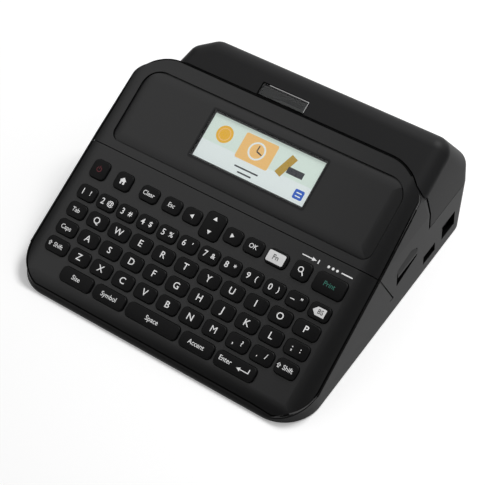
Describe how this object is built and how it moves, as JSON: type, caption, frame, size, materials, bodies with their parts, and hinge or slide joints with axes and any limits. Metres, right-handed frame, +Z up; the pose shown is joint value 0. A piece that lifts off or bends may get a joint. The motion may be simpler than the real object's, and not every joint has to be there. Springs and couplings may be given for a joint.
{
  "type": "label maker",
  "caption": "Desktop label maker with a sloped keyboard and screen, a hinged cover over the tape compartment behind them, and a battery door below.",
  "frame": {"origin": "middle of the bounding box, at the surface the rubber feet stand on", "axes": "+X to the user's right, +Y to the back, +Z up"},
  "size_m": [0.201, 0.1888, 0.082],
  "materials": {
    "case_plastic": "fine matte moulded plastic",
    "cover_plastic": "fine matte moulded plastic, a little darker",
    "panel_plastic": "satin moulded plastic",
    "lid_plastic": "satin moulded plastic",
    "key_plastic": "satin black key plastic",
    "light_key_plastic": "satin black key plastic with a light printed plate",
    "clear_plastic": "clear flat window",
    "screen_glass": "backlit liquid crystal screen",
    "steel": "bright steel",
    "frame_plastic": "grey engineering plastic",
    "gear_plastic": "natural white acetal",
    "brass": "turned brass",
    "motor_steel": "pressed steel can",
    "heat_sink_aluminium": "plain aluminium",
    "head_ceramic": "glazed ceramic strip",
    "cassette_plastic": "light grey moulded plastic",
    "roller_rubber": "dull black rubber",
    "circuit_board": "green solder resist",
    "socket_plastic": "black socket plastic",
    "battery_wrap": "plain wrapped cell"
  },
  "bodies": {
    "case": {"base_shell": "case_plastic", "keyboard_panel": "cover_plastic", "display_housing": "cover_plastic", "display_panel": "panel_plastic", "display_window": "clear_plastic", "lcd_module": "screen_glass", "hinge_pins": "steel", "key_mat": "roller_rubber", "key_circuit_board": "circuit_board", "mechanism_frame": "frame_plastic", "tape_cassette": "cassette_plastic", "print_head": "head_ceramic", "head_heat_sink": "heat_sink_aluminium", "drive_motor": "motor_steel", "fixed_blade": "steel", "cutter_motor": "motor_steel", "main_circuit_board": "circuit_board", "dc_jack": "socket_plastic", "usb_socket": "socket_plastic", "battery_cells": "battery_wrap", "battery_contacts": "steel", "rubber_feet": "roller_rubber", "case_screws": "steel"},
    "cover": {"tape_cover": "lid_plastic", "cover_window": "clear_plastic"},
    "battery_door": {"battery_door": "case_plastic"},
    "release_lever": {"release_lever": "case_plastic"},
    "key_power": {"key_power": "key_plastic"},
    "key_home": {"key_home": "key_plastic"},
    "key_clear": {"key_clear": "key_plastic"},
    "key_escape": {"key_escape": "key_plastic"},
    "key_left": {"key_left": "key_plastic"},
    "key_up_down": {"key_up_down": "key_plastic"},
    "key_right": {"key_right": "key_plastic"},
    "key_ok": {"key_ok": "key_plastic"},
    "key_function": {"key_function": "light_key_plastic"},
    "key_search": {"key_search": "key_plastic"},
    "key_print": {"key_print": "key_plastic"},
    "key_backspace": {"key_backspace": "light_key_plastic"},
    "key_tab": {"key_tab": "key_plastic"},
    "key_caps": {"key_caps": "key_plastic"},
    "key_shift_left": {"key_shift_left": "key_plastic"},
    "key_shift_right": {"key_shift_right": "key_plastic"},
    "key_scale": {"key_scale": "key_plastic"},
    "key_symbol": {"key_symbol": "key_plastic"},
    "key_space": {"key_space": "key_plastic"},
    "key_accent": {"key_accent": "key_plastic"},
    "key_enter": {"key_enter": "key_plastic"},
    "digit_key_row": {"digit_key_row": "key_plastic"},
    "upper_letter_key_row": {"upper_letter_key_row": "key_plastic"},
    "middle_letter_key_row": {"middle_letter_key_row": "key_plastic"},
    "lower_letter_key_row": {"lower_letter_key_row": "key_plastic"},
    "motor_pinion": {"motor_pinion": "brass"},
    "reduction_gear": {"reduction_gear": "gear_plastic"},
    "idler_gear": {"idler_gear": "gear_plastic"},
    "ribbon_spindle": {"ribbon_spindle": "gear_plastic"},
    "platen_roller": {"platen_roller": "roller_rubber"},
    "feed_roller": {"feed_roller": "roller_rubber"},
    "cutter_blade": {"cutter_blade": "steel"},
    "cutter_pinion": {"cutter_pinion": "brass"}
  },
  "joints": [
    {"name": "cover_hinge", "type": "hinge", "parent": "case", "child": "cover", "pos_m": [0, 0.09212, 0.0362], "axis": [-1, 0, 0], "range_deg": [0, 85]},
    {"name": "battery_door_hinge", "type": "hinge", "parent": "case", "child": "battery_door", "pos_m": [0, -0.0329, 0.0017], "axis": [-1, 0, 0], "range_deg": [0, 60]},
    {"name": "release_lever_hinge", "type": "hinge", "parent": "case", "child": "release_lever", "pos_m": [0.0964, 0.02, 0.0318], "axis": [0, -0.9861, -0.1664], "range_deg": [0, 12], "stiffness_Nm_per_rad": 0.05},
    {"name": "key_power_press", "type": "slide", "parent": "case", "child": "key_power", "axis": [0, 0.4431, -0.8965], "range_m": [0, 0.001], "stiffness_N_per_m": 400},
    {"name": "key_home_press", "type": "slide", "parent": "case", "child": "key_home", "axis": [0, 0.4431, -0.8965], "range_m": [0, 0.001], "stiffness_N_per_m": 400},
    {"name": "key_clear_press", "type": "slide", "parent": "case", "child": "key_clear", "axis": [0, 0.4431, -0.8965], "range_m": [0, 0.001], "stiffness_N_per_m": 400},
    {"name": "key_escape_press", "type": "slide", "parent": "case", "child": "key_escape", "axis": [0, 0.4431, -0.8965], "range_m": [0, 0.001], "stiffness_N_per_m": 400},
    {"name": "key_left_press", "type": "slide", "parent": "case", "child": "key_left", "axis": [0, 0.4431, -0.8965], "range_m": [0, 0.001], "stiffness_N_per_m": 400},
    {"name": "key_up_down_rock", "type": "hinge", "parent": "case", "child": "key_up_down", "pos_m": [-0.00115, -0.02321, 0.03718], "axis": [1, 0, 0], "range_deg": [-3, 3], "stiffness_Nm_per_rad": 0.02},
    {"name": "key_right_press", "type": "slide", "parent": "case", "child": "key_right", "axis": [0, 0.4431, -0.8965], "range_m": [0, 0.001], "stiffness_N_per_m": 400},
    {"name": "key_ok_press", "type": "slide", "parent": "case", "child": "key_ok", "axis": [0, 0.4431, -0.8965], "range_m": [0, 0.001], "stiffness_N_per_m": 400},
    {"name": "key_function_press", "type": "slide", "parent": "case", "child": "key_function", "axis": [0, 0.4431, -0.8965], "range_m": [0, 0.001], "stiffness_N_per_m": 400},
    {"name": "key_search_press", "type": "slide", "parent": "case", "child": "key_search", "axis": [0, 0.4431, -0.8965], "range_m": [0, 0.001], "stiffness_N_per_m": 400},
    {"name": "key_print_press", "type": "slide", "parent": "case", "child": "key_print", "axis": [0, 0.4431, -0.8965], "range_m": [0, 0.001], "stiffness_N_per_m": 400},
    {"name": "key_backspace_press", "type": "slide", "parent": "case", "child": "key_backspace", "axis": [0, 0.4431, -0.8965], "range_m": [0, 0.001], "stiffness_N_per_m": 400},
    {"name": "key_tab_press", "type": "slide", "parent": "case", "child": "key_tab", "axis": [0, 0.4431, -0.8965], "range_m": [0, 0.001], "stiffness_N_per_m": 400},
    {"name": "key_caps_press", "type": "slide", "parent": "case", "child": "key_caps", "axis": [0, 0.4431, -0.8965], "range_m": [0, 0.001], "stiffness_N_per_m": 400},
    {"name": "key_shift_left_press", "type": "slide", "parent": "case", "child": "key_shift_left", "axis": [0, 0.4431, -0.8965], "range_m": [0, 0.001], "stiffness_N_per_m": 400},
    {"name": "key_shift_right_press", "type": "slide", "parent": "case", "child": "key_shift_right", "axis": [0, 0.4431, -0.8965], "range_m": [0, 0.001], "stiffness_N_per_m": 400},
    {"name": "key_scale_press", "type": "slide", "parent": "case", "child": "key_scale", "axis": [0, 0.4431, -0.8965], "range_m": [0, 0.001], "stiffness_N_per_m": 400},
    {"name": "key_symbol_press", "type": "slide", "parent": "case", "child": "key_symbol", "axis": [0, 0.4431, -0.8965], "range_m": [0, 0.001], "stiffness_N_per_m": 400},
    {"name": "key_space_press", "type": "slide", "parent": "case", "child": "key_space", "axis": [0, 0.4431, -0.8965], "range_m": [0, 0.001], "stiffness_N_per_m": 400},
    {"name": "key_accent_press", "type": "slide", "parent": "case", "child": "key_accent", "axis": [0, 0.4431, -0.8965], "range_m": [0, 0.001], "stiffness_N_per_m": 400},
    {"name": "key_enter_press", "type": "slide", "parent": "case", "child": "key_enter", "axis": [0, 0.4431, -0.8965], "range_m": [0, 0.001], "stiffness_N_per_m": 400},
    {"name": "digit_key_row_press", "type": "slide", "parent": "case", "child": "digit_key_row", "axis": [0, 0.4431, -0.8965], "range_m": [0, 0.001], "stiffness_N_per_m": 1500},
    {"name": "upper_letter_key_row_press", "type": "slide", "parent": "case", "child": "upper_letter_key_row", "axis": [0, 0.4431, -0.8965], "range_m": [0, 0.001], "stiffness_N_per_m": 1500},
    {"name": "middle_letter_key_row_press", "type": "slide", "parent": "case", "child": "middle_letter_key_row", "axis": [0, 0.4431, -0.8965], "range_m": [0, 0.001], "stiffness_N_per_m": 1500},
    {"name": "lower_letter_key_row_press", "type": "slide", "parent": "case", "child": "lower_letter_key_row", "axis": [0, 0.4431, -0.8965], "range_m": [0, 0.001], "stiffness_N_per_m": 1500},
    {"name": "motor_pinion_spin", "type": "hinge", "parent": "case", "child": "motor_pinion", "pos_m": [-0.06, 0.03852, 0.04296], "axis": [0, 0.6574, 0.7536], "continuous": true},
    {"name": "reduction_gear_spin", "type": "hinge", "parent": "case", "child": "reduction_gear", "pos_m": [-0.054, 0.04905, 0.03378], "axis": [0, 0.6574, 0.7536], "continuous": true},
    {"name": "idler_gear_spin", "type": "hinge", "parent": "case", "child": "idler_gear", "pos_m": [-0.0585, 0.06249, 0.02205], "axis": [0, 0.6574, 0.7536], "continuous": true},
    {"name": "ribbon_spindle_spin", "type": "hinge", "parent": "case", "child": "ribbon_spindle", "pos_m": [-0.03325, 0.04796, 0.03472], "axis": [0, 0.6574, 0.7536], "continuous": true},
    {"name": "platen_roller_spin", "type": "hinge", "parent": "case", "child": "platen_roller", "pos_m": [-0.051, 0.06876, 0.01658], "axis": [0, 0.6574, 0.7536], "continuous": true},
    {"name": "feed_roller_spin", "type": "hinge", "parent": "case", "child": "feed_roller", "pos_m": [-0.066, 0.06876, 0.01658], "axis": [0, 0.6574, 0.7536], "continuous": true},
    {"name": "cutter_pinion_spin", "type": "hinge", "parent": "case", "child": "cutter_pinion", "pos_m": [-0.0806, 0.05367, 0.00931], "axis": [1, 0, 0], "range_deg": [0, 140]},
    {"name": "cutter_blade_swing", "type": "hinge", "parent": "case", "child": "cutter_blade", "pos_m": [-0.0808, 0.06313, 0.02016], "axis": [-1, 0, 0], "range_deg": [0, 28.5]}
  ],
  "couplings": [
    {"joint": "motor_pinion_spin", "follows": "reduction_gear_spin", "ratio": -3.75},
    {"joint": "idler_gear_spin", "follows": "reduction_gear_spin", "ratio": -1.875},
    {"joint": "ribbon_spindle_spin", "follows": "reduction_gear_spin", "ratio": -1.3636},
    {"joint": "platen_roller_spin", "follows": "reduction_gear_spin", "ratio": 2.5},
    {"joint": "feed_roller_spin", "follows": "reduction_gear_spin", "ratio": 2.5},
    {"joint": "cutter_blade_swing", "follows": "cutter_pinion_spin", "ratio": 0.2}
  ]
}
